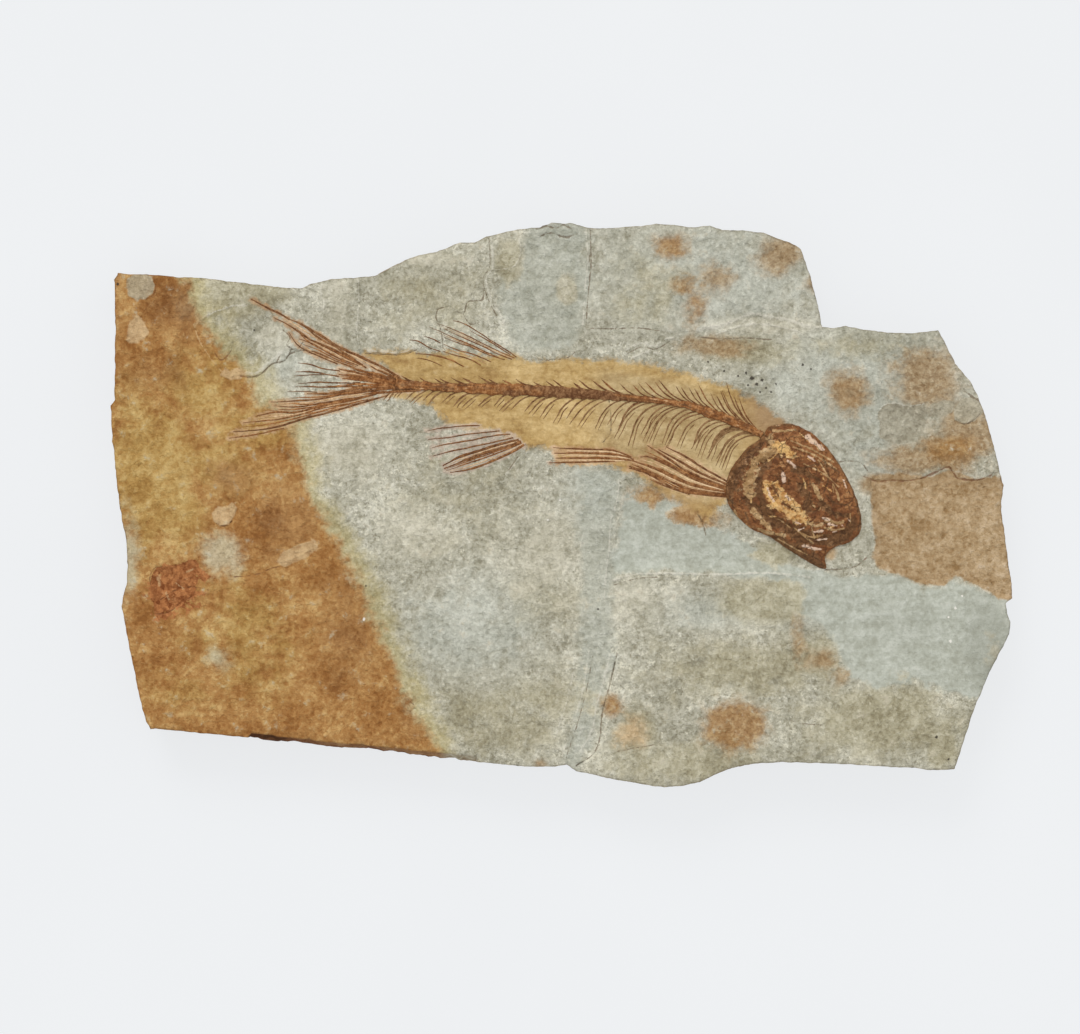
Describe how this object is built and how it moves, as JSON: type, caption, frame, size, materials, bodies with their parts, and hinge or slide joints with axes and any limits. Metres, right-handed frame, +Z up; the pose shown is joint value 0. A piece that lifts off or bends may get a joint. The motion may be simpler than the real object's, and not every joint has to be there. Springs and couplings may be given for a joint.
{
  "type": "fossil fish slab",
  "caption": "Broken slab of layered stone with a whole fossil fish lying in low relief on its face; rests flat on its back.",
  "frame": {"origin": "middle of the slab's bounding box, on the flat back that it rests on", "axes": "+X along the fish from tail to head, +Y from its belly to its back, +Z up, out of the face that carries the fish"},
  "size_m": [0.1498, 0.094, 0.0113],
  "materials": {
    "stone": "matte, split and stained",
    "skull_bone": "glossy, mottled red-brown",
    "bone": "satin brown",
    "fin_rays": "satin brown"
  },
  "bodies": {
    "root": {"stone_slab": "stone", "skull": "skull_bone", "backbone_and_ribs": "bone", "tail_fin": "fin_rays", "dorsal_fin": "fin_rays", "anal_fin": "fin_rays", "pelvic_fin": "fin_rays", "pectoral_fin": "fin_rays"}
  },
  "joints": []
}
